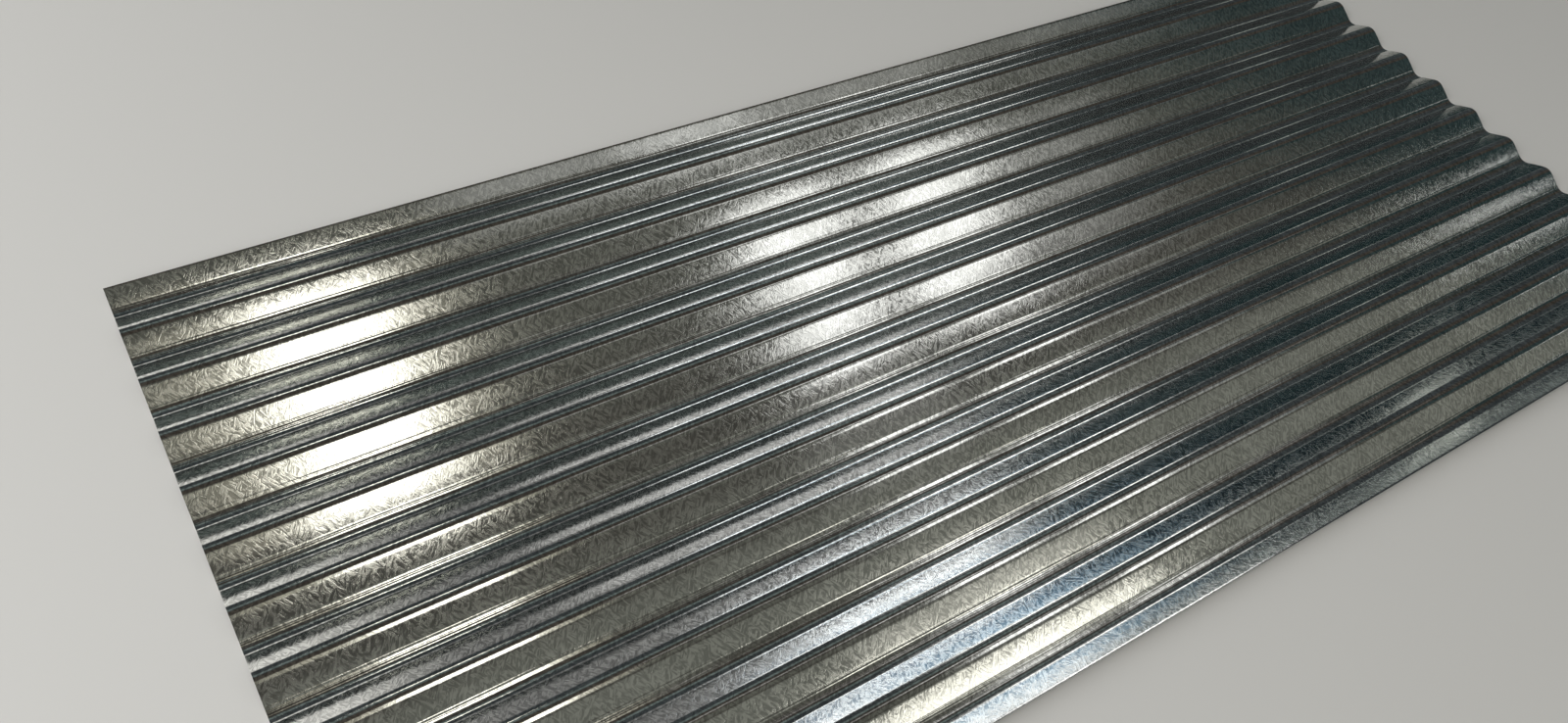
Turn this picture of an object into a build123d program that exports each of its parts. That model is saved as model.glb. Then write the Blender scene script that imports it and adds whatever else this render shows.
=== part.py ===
from build123d import *
from math import asin, atan2, degrees, hypot
import os

# A corrugated metal sheet, roll formed in one piece from flat galvanised steel.
# Millimetres. X runs along the corrugations, Y across them and Z up. The origin is under the
# middle of the sheet, on the level that its valleys rest on.

# Driving dimensions
LENGTH = 2000.0  # along the corrugations
CORRUGATIONS = 12  # valleys across the sheet
PITCH = 76.0  # crown to crown
DEPTH = 16.0  # over the metal, from the underside of a valley to the top of a crown
THICKNESS = 0.5  # of the metal
BEND_RADIUS = 17.0  # inside radius of every bend
EDGE_SHORT = 6.0  # how far each side edge stops short of its outer crown's centre line

# Worked out from them
half_pitch = PITCH / 2
outer_radius = BEND_RADIUS + THICKNESS
middle_radius = BEND_RADIUS + THICKNESS / 2
crown_centre_z = DEPTH - outer_radius
valley_centre_z = outer_radius

# The flank is the straight line that leaves the crown's arc on one side and meets the valley's
# arc on the other, so its slope follows from the two arc centres and the bend radius.
centre_rise = valley_centre_z - crown_centre_z
centre_distance = hypot(half_pitch, centre_rise)
flank_angle = degrees(asin(2 * middle_radius / centre_distance) - atan2(centre_rise, half_pitch))

# The edge is sheared square to the metal, a little way up the outer crown's arc.
edge_angle = degrees(asin(EDGE_SHORT / BEND_RADIUS))

UP = 90.0
DOWN = 270.0


def bend_arc(bend, crown_radius, valley_radius):
    """The arc of one bend. Even bends are crowns and odd ones are valleys."""
    y = (bend - CORRUGATIONS) * half_pitch
    if bend % 2:
        return CenterArc((y, valley_centre_z), valley_radius, DOWN - flank_angle, 2 * flank_angle)
    start = UP - edge_angle if bend == 0 else UP + flank_angle
    end = UP + edge_angle if bend == 2 * CORRUGATIONS else UP - flank_angle
    return CenterArc((y, crown_centre_z), crown_radius, start, end - start)


def skin(crown_radius, valley_radius):
    """One face of the metal, from the front edge to the back edge: arcs joined by flanks."""
    bends = [bend_arc(bend, crown_radius, valley_radius) for bend in range(2 * CORRUGATIONS + 1)]
    for before, after in zip(bends, bends[1:]):
        Line(before @ 1, after @ 0)
    return bends[0] @ 0, bends[-1] @ 1


with BuildPart() as corrugated_sheet:
    with BuildSketch(Plane.YZ.offset(-LENGTH / 2)):
        with BuildLine():
            top_front, top_back = skin(crown_radius=outer_radius, valley_radius=BEND_RADIUS)
            low_front, low_back = skin(crown_radius=BEND_RADIUS, valley_radius=outer_radius)
            Line(top_front, low_front)
            Line(top_back, low_back)
        make_face()
    extrude(amount=LENGTH)

corrugated_sheet.part.label = "corrugated_sheet"

os.makedirs("parts", exist_ok=True)
export_step(corrugated_sheet.part, "parts/corrugated_sheet.step")
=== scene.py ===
from math import cos, pi, radians, sin

import bpy
import numpy as np
from mathutils import Matrix, Vector


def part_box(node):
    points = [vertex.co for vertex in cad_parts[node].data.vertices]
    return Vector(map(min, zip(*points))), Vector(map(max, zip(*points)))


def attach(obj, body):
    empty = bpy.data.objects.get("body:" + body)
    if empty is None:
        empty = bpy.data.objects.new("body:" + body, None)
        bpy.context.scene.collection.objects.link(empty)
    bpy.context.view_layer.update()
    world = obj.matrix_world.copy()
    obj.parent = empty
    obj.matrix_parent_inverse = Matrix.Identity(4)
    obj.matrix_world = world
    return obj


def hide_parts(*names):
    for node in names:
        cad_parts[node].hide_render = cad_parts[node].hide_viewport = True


# A corrugated galvanised steel sheet, lying flat, dressed for its picture.
# Metres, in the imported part's frame: X along the corrugations, Y across them and Z up.

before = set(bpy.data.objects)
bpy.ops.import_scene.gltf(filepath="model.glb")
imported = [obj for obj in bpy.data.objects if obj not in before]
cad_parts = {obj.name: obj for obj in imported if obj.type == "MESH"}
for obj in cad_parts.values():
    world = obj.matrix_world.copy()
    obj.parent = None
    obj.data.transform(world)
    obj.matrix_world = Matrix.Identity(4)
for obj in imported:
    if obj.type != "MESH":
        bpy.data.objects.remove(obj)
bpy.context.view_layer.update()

# The section, from the same driving dimensions as the part
SHEET = "corrugated_sheet"
CORRUGATIONS = 12  # valleys across the sheet
PITCH = 0.076  # crown to crown
THICKNESS = 0.0005  # of the metal

# How finely the section and the length are divided
ARC_STEPS = 7  # from a crown's top, or a valley's bottom, to the flank
FLANK_SHARES = (0.03, 0.2, 0.4, 0.6, 0.8, 0.97)  # points along a flank
STATIONS = 96  # sections along the length
EDGE_SKIP = 6  # points of an outermost crown that lie beyond the side edge
EDGE_LEAN = 0.00009  # a side edge leans out this far from the middle of the metal
SHARP_ANGLE = 40  # degrees, from which two faces meet in a sharp edge

# The flanks are not quite flat: they are a little steeper near the valleys, most at the ends
CROWN_SLOPE = 27.4  # degrees, where a flank meets the crown
VALLEY_SLOPE = 29.0  # degrees, where it meets the valley
END_SPRING = 1.0  # degrees more of the same at the very ends
END_REACH = 0.25  # how far from an end this starts

# The spangle: strokes in tufts, in clouds of duller and brighter zinc
STROKE = (0.010, 0.003, 1.0)  # length and width of a stroke
STROKE_TURNS = (-50, -125)  # degrees, the two ways that the strokes run
STROKE_HEIGHT = 0.000022
STROKE_GROUPS = 90.0  # groups that run one way, for each metre
TUFTS = 160.0  # for each metre
TUFT_LEAN = 0.030  # how far a tuft tips the metal
CLOUDS = 9.0  # for each metre
ROUGHNESS = 0.105  # between the strokes
BEND_LEVEL = (0.895, 0.93)  # the normal's Z where a bend starts and from where it is worn smooth
BEND_RELIEF = 0.12  # how much of the relief a worn bend keeps

# Fine lines that the rollers leave behind a valley's bottom
LINE_SPACING = 0.0031
LINE_STRIP = (0.51, 0.65)  # where they lie, in shares of the pitch behind a crown
LINE_STRIP_SOFT = 0.02
LINE_LEAN = 0.16  # how far they tip the metal
LINE_DRIFT = 9.0  # how far they wander, in radians of their spacing
LINE_DRIFTS = 2.5  # how many times they wander, for each metre

# The cut edges
SHEAR_MARKS = (900.0, 900.0, 4000.0)  # for each metre along X, Y and Z

# Waves that rolling and handling leave in the sheet
WAVE_HEIGHT = 0.00006
WAVE_COUNT = 9
WAVE_LENGTHS = (0.18, 0.7)  # the shortest and the longest
WAVE_SLANT = 6.0  # the most waves for each metre across the sheet
WAVE_SEED = 5

# The camera
CAMERA_PLACE = (-0.987, -0.656, 1.162)
CAMERA_PAN = -43.03  # degrees, from looking along +Y
CAMERA_TILT = 39.44  # degrees, from looking straight down
CAMERA_ROLL = 14.41  # degrees
CAMERA_LENS = 28.39  # mm
CAMERA_SENSOR = 36.0  # mm, its width

# The studio
FLOOR_RADIUS = 40.0
CEILING = 2.2  # height of the softboxes


def add(tree, kind, inputs=None, **settings):
    """A new node. inputs gives a value, or a socket to join, for each named or numbered input."""
    node = tree.nodes.new(kind)
    for name, value in settings.items():
        setattr(node, name, value)
    for name, value in (inputs or {}).items():
        if isinstance(value, bpy.types.NodeSocket):
            tree.links.new(value, node.inputs[name])
        else:
            node.inputs[name].default_value = value
    return node


def maths(tree, operation, *values):
    """The result of a Math node."""
    return add(tree, "ShaderNodeMath", dict(enumerate(values)), operation=operation).outputs[0]


def vectors(tree, operation, *values):
    """The result of a Vector Math node."""
    return add(tree, "ShaderNodeVectorMath", dict(enumerate(values)), operation=operation).outputs[0]


def ramp(tree, value, start, end, low=0.0, high=1.0):
    """A smooth step of value from low to high, as it goes from start to end."""
    sockets = {"Value": value, "From Min": start, "From Max": end, "To Min": low, "To Max": high}
    node = add(tree, "ShaderNodeMapRange", sockets, interpolation_type="SMOOTHSTEP")
    return node.outputs["Result"]


def both(tree, first, second):
    """The share that lies in first and also in second."""
    return maths(tree, "MULTIPLY", first, second)


def band(tree, value, start, end, soft):
    """1 while value is between start and end, and 0 outside, with soft edges."""
    up = ramp(tree, value, start, start + soft)
    return both(tree, up, ramp(tree, value, end - soft, end, 1.0, 0.0))


def blend(tree, share, first, second):
    """A colour between first and second."""
    node = add(tree, "ShaderNodeMix", data_type="RGBA")
    for socket, value in ((0, share), (6, first), (7, second)):
        if isinstance(value, bpy.types.NodeSocket):
            tree.links.new(value, node.inputs[socket])
        else:
            node.inputs[socket].default_value = value
    return node.outputs[2]


def noise(tree, vector, scale, detail=2.0, roughness=0.5, distortion=0.0):
    """A noise texture node."""
    sockets = {
        "Vector": vector,
        "Scale": scale,
        "Detail": detail,
        "Roughness": roughness,
        "Distortion": distortion,
    }
    return add(tree, "ShaderNodeTexNoise", sockets)


def new_material(name):
    """An empty node material, its tree and its output node."""
    material = bpy.data.materials.new(name)
    material.use_nodes = True
    tree = material.node_tree
    tree.nodes.clear()
    return material, tree, tree.nodes.new("ShaderNodeOutputMaterial")


def feathers(tree, place):
    """Spangle: short curling strokes that run two ways, 0 between them and 1 on them."""
    fields = []
    for turn in STROKE_TURNS:
        sockets = {"Vector": place, "Rotation": (0.0, 0.0, radians(turn)), "Scale": STROKE}
        along = add(tree, "ShaderNodeMapping", sockets, vector_type="TEXTURE").outputs[0]
        fields.append(noise(tree, along, 1.0, 2.0, 0.5, 1.0).outputs["Fac"])
    share = ramp(tree, noise(tree, place, STROKE_GROUPS, 1.0).outputs["Fac"], 0.46, 0.54)
    either = add(tree, "ShaderNodeMix", {0: share, 2: fields[0], 3: fields[1]}).outputs[0]
    return ramp(tree, either, 0.38, 0.62)


def roller_lines(tree, place):
    """Fine lines that the rollers leave along the valleys: how far they tip the metal towards +Y."""
    x, y, _ = add(tree, "ShaderNodeSeparateXYZ", {0: place}).outputs
    across = maths(tree, "DIVIDE", y, PITCH)
    row = maths(tree, "FLOOR", across)
    along = maths(tree, "MULTIPLY", x, LINE_DRIFTS)
    spot = add(tree, "ShaderNodeCombineXYZ", {0: along, 1: row}).outputs[0]
    drift = noise(tree, spot, 1.0, 2.0, 0.6).outputs["Fac"]
    lines = maths(tree, "MULTIPLY", y, 2 * pi / LINE_SPACING)
    phase = maths(tree, "MULTIPLY_ADD", drift, LINE_DRIFT, lines)
    inside = band(tree, maths(tree, "FRACT", across), *LINE_STRIP, LINE_STRIP_SOFT)
    strength = both(tree, inside, ramp(tree, drift, 0.3, 0.6, 0.4, 1.0))
    lean = maths(tree, "MULTIPLY", strength, LINE_LEAN)
    return maths(tree, "MULTIPLY", maths(tree, "SINE", phase), lean)


def spangled_surface(tree, place, feather, relief, geometry):
    """The metal's normal: tufts and roller lines tip it, and the strokes stand a little proud."""
    tufts = noise(tree, place, TUFTS, 1.0).outputs["Color"]
    lean = vectors(tree, "SUBTRACT", tufts, (0.5, 0.5, 0.5))
    lean = add(tree, "ShaderNodeVectorMath", {0: lean}, operation="SCALE")
    tree.links.new(maths(tree, "MULTIPLY", relief, TUFT_LEAN), lean.inputs["Scale"])
    tipped = add(tree, "ShaderNodeCombineXYZ", {1: roller_lines(tree, place)}).outputs[0]
    tipped = vectors(tree, "ADD", vectors(tree, "ADD", lean.outputs[0], tipped), geometry)
    bump = add(
        tree,
        "ShaderNodeBump",
        {
            "Strength": relief,
            "Distance": STROKE_HEIGHT,
            "Height": feather,
            "Normal": vectors(tree, "NORMALIZE", tipped),
        },
    )
    return bump.outputs[0]


def galvanised_metal():
    """Bright zinc with a small feathery spangle, worn smoother on the bends by the rollers."""
    material, tree, output = new_material("galvanised_metal")
    place = add(tree, "ShaderNodeTexCoord").outputs["Object"]
    geometry = add(tree, "ShaderNodeNewGeometry").outputs["Normal"]
    feather = feathers(tree, place)

    # The rollers have smoothed the bends, which is where the sheet faces up or down
    facing = add(tree, "ShaderNodeSeparateXYZ", {0: geometry})
    level = maths(tree, "ABSOLUTE", facing.outputs["Z"])
    relief = ramp(tree, level, *BEND_LEVEL, 1.0, BEND_RELIEF)

    cloud = ramp(tree, noise(tree, place, CLOUDS, 3.0, 0.6).outputs["Fac"], 0.35, 0.65)
    dull = blend(tree, feather, (0.43, 0.435, 0.415, 1.0), (0.68, 0.685, 0.655, 1.0))
    bright = blend(tree, feather, (0.50, 0.505, 0.485, 1.0), (0.78, 0.785, 0.755, 1.0))
    haze = maths(tree, "MULTIPLY", relief, ramp(tree, cloud, 0.0, 1.0, 0.06, 0.04))

    shader = add(
        tree,
        "ShaderNodeBsdfPrincipled",
        {
            "Base Color": blend(tree, cloud, dull, bright),
            "Metallic": 1.0,
            "Roughness": maths(tree, "MULTIPLY_ADD", feather, haze, ROUGHNESS),
            "Normal": spangled_surface(tree, place, feather, relief, geometry),
        },
    )
    tree.links.new(shader.outputs[0], output.inputs["Surface"])
    return material


def sheared_edge():
    """The cut edges: steel with zinc smeared over it by the shear."""
    material, tree, output = new_material("sheared_edge")
    place = add(tree, "ShaderNodeTexCoord").outputs["Object"]
    drawn = noise(tree, vectors(tree, "MULTIPLY", place, SHEAR_MARKS), 1.0, 2.0)
    smear = ramp(tree, drawn.outputs["Fac"], 0.4, 0.6)
    shader = add(
        tree,
        "ShaderNodeBsdfPrincipled",
        {
            "Base Color": blend(tree, smear, (0.42, 0.42, 0.41, 1.0), (0.72, 0.72, 0.70, 1.0)),
            "Metallic": 1.0,
            "Roughness": ramp(tree, smear, 0.0, 1.0, 0.5, 0.3),
        },
    )
    tree.links.new(shader.outputs[0], output.inputs["Surface"])
    return material


def half_wave(crown_slope, valley_slope):
    """The metal's middle from a crown's top down to a valley's bottom, in arcs that run on smoothly.

    Each point is its distance from the crown, its depth below it and its slope.
    """
    low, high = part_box(SHEET)
    drop = high.z - low.z - THICKNESS
    # The radii of the bends and of the flank that give the half pitch and the depth
    run = [sin(crown_slope), sin(valley_slope) - sin(crown_slope), sin(valley_slope)]
    fall = [1 - cos(crown_slope), cos(crown_slope) - cos(valley_slope), 1 - cos(valley_slope)]
    bend = [[run[0] + run[2], run[1]], [fall[0] + fall[2], fall[1]]]
    radius, flank_radius = np.linalg.solve(bend, [PITCH / 2, drop])
    points = []
    for step in range(ARC_STEPS + 1):
        turn = crown_slope * step / ARC_STEPS
        points.append((radius * sin(turn), radius * (1 - cos(turn)), turn))
    start = points[-1]
    for share in FLANK_SHARES:
        turn = crown_slope + (valley_slope - crown_slope) * share
        y = start[0] + flank_radius * (sin(turn) - sin(crown_slope))
        points.append((y, start[1] + flank_radius * (cos(crown_slope) - cos(turn)), turn))
    for step in range(ARC_STEPS, -1, -1):
        turn = valley_slope * step / ARC_STEPS
        points.append((PITCH / 2 - radius * sin(turn), drop - radius * (1 - cos(turn)), turn))
    return np.array(points)


def section(crown_slope, valley_slope):
    """Points on the middle of the metal from the front edge to the back one, and their normals."""
    _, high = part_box(SHEET)
    top = high.z - THICKNESS / 2
    half = half_wave(crown_slope, valley_slope)
    points, normals = [], []
    for row in range(2 * CORRUGATIONS):
        falling = row % 2 == 0
        y, depth, turn = (half if falling else half[::-1]).T
        start = (row - CORRUGATIONS) * PITCH / 2
        y = start + y if falling else start + PITCH / 2 - y
        sign = 1 if falling else -1
        first = 1 if row else 0
        points.append(np.column_stack([y, top - depth])[first:])
        normals.append(np.column_stack([sign * np.sin(turn), np.cos(turn)])[first:])
    points, normals = np.concatenate(points), np.concatenate(normals)
    # The side edges cut the outermost crowns short
    y = points[:, 0]
    edge = high.y - EDGE_LEAN
    kept = np.concatenate([[-edge], y[EDGE_SKIP:-EDGE_SKIP], [edge]])
    points = np.column_stack([kept, np.interp(kept, y, points[:, 1])])
    normals = np.column_stack([np.interp(kept, y, normals[:, 0]), np.interp(kept, y, normals[:, 1])])
    return points, normals / np.linalg.norm(normals, axis=1)[:, None]


def waves(x, y):
    """How far the metal stands off its true place, in metres, as a sum of long ripples."""
    chance = np.random.RandomState(WAVE_SEED)
    height = 0.0
    for _ in range(WAVE_COUNT):
        length = chance.uniform(*WAVE_LENGTHS)
        across = chance.uniform(-WAVE_SLANT, WAVE_SLANT)
        phase = chance.uniform(0.0, 2 * pi)
        height = height + np.sin(2 * pi * (x / length + y * across) + phase)
    return WAVE_HEIGHT * height / WAVE_COUNT ** 0.5


def sheet_ring(x):
    """The points around the sheet's section at x: along the upper face and back along the lower."""
    _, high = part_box(SHEET)
    near_end = max(0.0, 1 - (high.x - abs(x)) / END_REACH) ** 2
    spring = END_SPRING * near_end
    middle, normals = section(radians(CROWN_SLOPE - spring), radians(VALLEY_SLOPE + spring))
    up, down = middle + normals * THICKNESS / 2, middle - normals * THICKNESS / 2
    ring = np.concatenate([up, down[::-1]])
    outward = np.concatenate([normals, normals[::-1]])
    y, z = (ring + waves(x, ring[:, 0])[:, None] * outward).T
    return np.column_stack([np.full(len(ring), x), y, z])


def sheet_vertices():
    """Every point of the sheet, fitted to the part's box, and how many make one ring."""
    low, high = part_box(SHEET)
    rings = [sheet_ring(x) for x in np.linspace(low.x, high.x, STATIONS)]
    vertices = np.concatenate(rings)
    for axis, (least, most) in enumerate(zip(low, high)):
        from_least = vertices[:, axis] - vertices[:, axis].min()
        vertices[:, axis] = least + from_least * (most - least) / from_least.max()
    return vertices, len(rings[0])


def sheet_faces(size):
    """The faces between the rings, and then those of the two cut ends."""
    faces = []
    for station in range(STATIONS - 1):
        here, there = station * size, (station + 1) * size
        for i in range(size):
            after = (i + 1) % size
            faces.append((here + i, there + i, there + after, here + after))
    last = (STATIONS - 1) * size
    for i in range(size // 2 - 1):
        under = size - 1 - i
        faces.append((i, i + 1, under - 1, under))
        faces.append((last + i, last + under, last + under - 1, last + i + 1))
    return faces


def build_sheet():
    """The sheet as one closed mesh: upper and lower face, side edges and cut ends."""
    vertices, size = sheet_vertices()
    mesh = bpy.data.meshes.new("sheet_metal")
    mesh.from_pydata(vertices.tolist(), [], sheet_faces(size))
    mesh.materials.append(galvanised_metal())
    mesh.materials.append(sheared_edge())
    side_edges = (size // 2 - 1, size - 1)
    for face in mesh.polygons:
        on_end = face.index >= (STATIONS - 1) * size
        face.material_index = int(on_end or face.index % size in side_edges)
    mesh.shade_smooth()
    mesh.set_sharp_from_angle(angle=radians(SHARP_ANGLE))
    mesh.validate()
    sheet = bpy.data.objects.new("galvanised_sheet", mesh)
    bpy.context.scene.collection.objects.link(sheet)
    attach(sheet, "root")
    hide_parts(SHEET)
    return sheet


def build_floor():
    """A plain pale floor."""
    material, tree, output = new_material("pale_floor")
    shader = add(
        tree,
        "ShaderNodeBsdfPrincipled",
        {"Base Color": (0.62, 0.612, 0.595, 1.0), "Roughness": 0.9, "Specular IOR Level": 0.2},
    )
    tree.links.new(shader.outputs[0], output.inputs["Surface"])
    bpy.ops.mesh.primitive_circle_add(vertices=96, radius=FLOOR_RADIUS, fill_type="NGON")
    floor = bpy.context.object
    floor.name = "floor"
    floor.data.materials.append(material)


def view_angles(tree):
    """Where a view goes: its X and Z, its height and its aside.

    The sheet is the same all along X, so a view reflected in it keeps its aside, which is how far
    it leans to +X. Its height is the angle that it has climbed from +Y: 90 is straight up.
    """
    toward = add(tree, "ShaderNodeTexCoord").outputs["Generated"]
    x, y, z = add(tree, "ShaderNodeSeparateXYZ", {0: toward}).outputs
    height = maths(tree, "DEGREES", maths(tree, "ARCTAN2", z, y))
    level = maths(tree, "MULTIPLY_ADD", y, y, maths(tree, "MULTIPLY", z, z))
    aside = maths(tree, "DIVIDE", x, maths(tree, "SQRT", level))
    return x, z, height, aside


def slanted(tree, height, level, slope, aside):
    """Aside, moved by slope for each degree above a level, for a limit that runs at a slant."""
    return maths(tree, "MULTIPLY_ADD", maths(tree, "SUBTRACT", height, level), slope, aside)


def patch(tree, height, heights, aside, asides):
    """1 inside a patch and 0 outside it. Each way it has two limits and their softness."""
    return both(tree, band(tree, height, *heights), band(tree, aside, *asides))


def wall_colour(tree, height, aside):
    """The wall in front: pale on the left and at its foot, dark past the window and in the corner."""
    left_wall = (0.88, 0.87, 0.84, 1.0)
    low_wall = (0.75, 0.745, 0.74, 1.0)
    back_wall = (0.20, 0.20, 0.20, 1.0)
    beside_window = (0.045, 0.06, 0.062, 1.0)
    far_corner = (0.017, 0.032, 0.034, 1.0)
    above_foot = ramp(tree, height, 9.5, 12.5)
    past_left = ramp(tree, aside, 0.03, 0.13)
    foot_shows = ramp(tree, aside, 0.19, 0.26)
    past_window = ramp(tree, aside, 0.59, 0.66)
    into_corner = ramp(tree, aside, 0.7, 1.0)
    colour = blend(tree, above_foot, low_wall, back_wall)
    colour = blend(tree, foot_shows, back_wall, colour)
    colour = blend(tree, past_left, left_wall, colour)
    colour = blend(tree, past_window, colour, beside_window)
    return blend(tree, into_corner, colour, far_corner)


def add_window(tree, colour, height, aside):
    """The window in the wall: a clear pane low down, a middle part in shade and an upper part."""
    pane = (2.7, 2.75, 2.8, 1.0)
    clear_pane = (4.4, 4.5, 4.6, 1.0)
    deep_pane = (0.02, 0.12, 0.26, 1.0)
    blue_pane = (0.32, 0.62, 0.90, 1.0)
    shaded_pane = (0.004, 0.012, 0.018, 1.0)
    upper_shaded_pane = (0.29, 0.32, 0.31, 1.0)
    soft = 0.6  # degrees, the softness of a pane's upper and lower edge

    across = both(tree, ramp(tree, aside, 0.3, 0.46), ramp(tree, aside, 0.56, 0.67, 1.0, 0.0))
    low_pane = both(tree, band(tree, height, 15.9, 18.1, soft), across)
    colour = blend(tree, low_pane, colour, clear_pane)

    # The middle part is in shade, more so lower down and to the right
    shade = slanted(tree, height, 20.0, -0.05, aside)
    blue = blend(tree, ramp(tree, height, 18.6, 22.0), deep_pane, blue_pane)
    middle = blend(tree, ramp(tree, shade, 0.30, 0.38), pane, blue)
    middle = blend(tree, ramp(tree, shade, 0.52, 0.74), middle, shaded_pane)
    upper = blend(tree, ramp(tree, aside, 0.54, 0.72), pane, upper_shaded_pane)
    inside = ramp(tree, aside, 0.3, 0.38)
    for part, low, high in ((middle, 17.4, 23.4), (upper, 22.8, 26.2)):
        share = both(tree, inside, band(tree, height, low, high, soft))
        colour = blend(tree, share, colour, part)
    return colour


def add_roof(tree, colour, height, aside):
    """The roof above the wall, bluer far off, with a paler strip that ends on the right."""
    far_roof = (0.048, 0.056, 0.060, 1.0)
    near_roof = (0.060, 0.052, 0.044, 1.0)
    pale_roof = (0.15, 0.185, 0.18, 1.0)
    over_wall = ramp(tree, height, 25.6, 29.0)
    nearer = ramp(tree, height, 60.0, 75.0)
    strip = both(tree, band(tree, height, 52.5, 67.0, 3.5), ramp(tree, aside, 0.55, 1.0, 1.0, 0.0))
    roof = blend(tree, nearer, far_roof, near_roof)
    colour = blend(tree, over_wall, colour, roof)
    return blend(tree, strip, colour, pale_roof)


def add_small_windows(tree, colour, height, aside):
    """A skylight at the roof's far end, and a small window in the wall on the right."""
    skylight = (3.0, 3.0, 3.0, 1.0)
    pale_pane = (1.2, 1.25, 1.15, 1.0)
    in_roof = patch(tree, height, (28.5, 35.0, 1.0), aside, (0.46, 0.88, 0.1))
    on_right = patch(tree, height, (20.2, 24.6, 0.5), aside, (1.12, 1.22, 0.03))
    colour = blend(tree, in_roof, colour, skylight)
    return blend(tree, on_right, colour, pale_pane)


def colour_behind(tree, height, aside):
    """The wall behind, with a dark corner and a small window low down on the right."""
    high_wall = (0.117, 0.119, 0.103, 1.0)
    dim_wall = (0.085, 0.082, 0.072, 1.0)
    near_wall = (0.205, 0.210, 0.185, 1.0)
    side_corner = (0.031, 0.05, 0.052, 1.0)
    far_pane = (3.0, 3.0, 3.0, 1.0)
    into_dim = ramp(tree, height, 110.0, 114.0)
    into_near = ramp(tree, height, 118.0, 124.0)
    into_corner = ramp(tree, slanted(tree, height, 104.0, -0.02, aside), 0.9, 1.1)
    low_right = patch(tree, height, (121.4, 124.4, 0.5), aside, (1.41, 1.52, 0.03))
    colour = blend(tree, into_dim, high_wall, dim_wall)
    colour = blend(tree, into_near, colour, near_wall)
    colour = blend(tree, into_corner, colour, side_corner)
    return blend(tree, low_right, colour, far_pane)


def light_world():
    """The studio's walls, roof and windows, a pale side on the left and the floor's far end."""
    far_floor = (0.225, 0.228, 0.208, 1.0)
    pale_side = (0.85, 0.85, 0.83, 1.0)
    world = bpy.data.worlds.new("studio")
    bpy.context.scene.world = world
    world.use_nodes = True
    tree = world.node_tree
    tree.nodes.clear()
    x, z, height, aside = view_angles(tree)
    colour = wall_colour(tree, height, aside)
    colour = add_window(tree, colour, height, aside)
    colour = add_roof(tree, colour, height, aside)
    colour = add_small_windows(tree, colour, height, aside)
    is_behind = ramp(tree, height, 91.0, 95.0)
    is_low = ramp(tree, z, 0.04, 0.02)
    is_left = ramp(tree, x, -0.1, -0.5)
    colour = blend(tree, is_behind, colour, colour_behind(tree, height, aside))
    colour = blend(tree, is_low, colour, far_floor)
    colour = blend(tree, is_left, colour, pale_side)
    shader = add(tree, "ShaderNodeBackground", {"Color": colour, "Strength": 1.0})
    output = tree.nodes.new("ShaderNodeOutputWorld")
    tree.links.new(shader.outputs[0], output.inputs["Surface"])


def softbox(name, low, high, radiance, colour=(1.0, 1.0, 1.0), ceiling=CEILING):
    """A flat rectangular lamp on the ceiling, between two corners, facing down."""
    low, high = Vector((*low, ceiling)), Vector((*high, ceiling))
    lamp = bpy.data.lights.new(name, "AREA")
    lamp.shape = "RECTANGLE"
    lamp.size, lamp.size_y = (high - low).xy
    lamp.energy = radiance * pi * lamp.size * lamp.size_y
    lamp.color = colour
    lamp_object = bpy.data.objects.new(name, lamp)
    lamp_object.location = (low + high) / 2
    bpy.context.scene.collection.objects.link(lamp_object)


def light_softboxes():
    """Overhead panels, whose reflections are the sheet's bright patches."""
    cream = (1.0, 0.97, 0.88)
    warm = (1.0, 0.93, 0.74)
    # Where two lamps overlap, the lower one is seen
    above, below = CEILING + 0.02, CEILING - 0.01
    softbox("near_panel", (-0.72, -0.97), (-0.34, -0.17), 3.0, cream)
    softbox("near_panel_behind", (-0.74, 1.42), (-0.38, 1.56), 4.2, cream)
    softbox("near_panel_rim", (-1.0, -0.95), (-0.15, -0.16), 0.3, warm, above)
    softbox("middle_panel", (0.84, -1.05), (1.20, -0.35), 1.9)
    softbox("far_panel", (1.40, -1.05), (1.80, -0.33), 1.9)
    softbox("far_panel_rim", (1.80, -1.05), (2.5, -0.35), 0.2)
    softbox("panel_behind", (1.1, 1.9), (2.2, 2.1), 0.5)
    softbox("glow", (-0.1, -0.13), (1.8, 0.1), 0.3)
    softbox("glow_left", (0.55, -0.10), (1.0, 0.06), 0.65, ceiling=below)
    softbox("glow_right", (1.8, -0.10), (3.0, 0.06), 0.16)
    softbox("middle_panel_rim", (0.8, -1.5), (1.4, -1.15), 0.12)
    softbox("side_panel", (0.7, -2.85), (2.06, -2.4), 2.6, cream)
    softbox("side_panel_dim", (0.8, -2.3), (1.9, -2.0), 0.45, cream)
    softbox("key", (-5.6, -3.2), (-1.6, 3.2), 1.75)


def place_camera():
    """The photo's camera."""
    camera = bpy.data.cameras.new("camera")
    camera.lens = CAMERA_LENS
    camera.sensor_width = CAMERA_SENSOR
    camera.sensor_fit = "HORIZONTAL"
    camera_object = bpy.data.objects.new("camera", camera)
    turned = Matrix.Rotation(radians(CAMERA_PAN), 4, "Z")
    turned = turned @ Matrix.Rotation(radians(CAMERA_TILT), 4, "X")
    turned = turned @ Matrix.Rotation(radians(CAMERA_ROLL), 4, "Z")
    camera_object.matrix_world = Matrix.Translation(CAMERA_PLACE) @ turned
    bpy.context.scene.collection.objects.link(camera_object)
    bpy.context.scene.camera = camera_object


place_camera()
build_sheet()
build_floor()
light_world()
light_softboxes()

bpy.context.scene.view_settings.view_transform = "Standard"
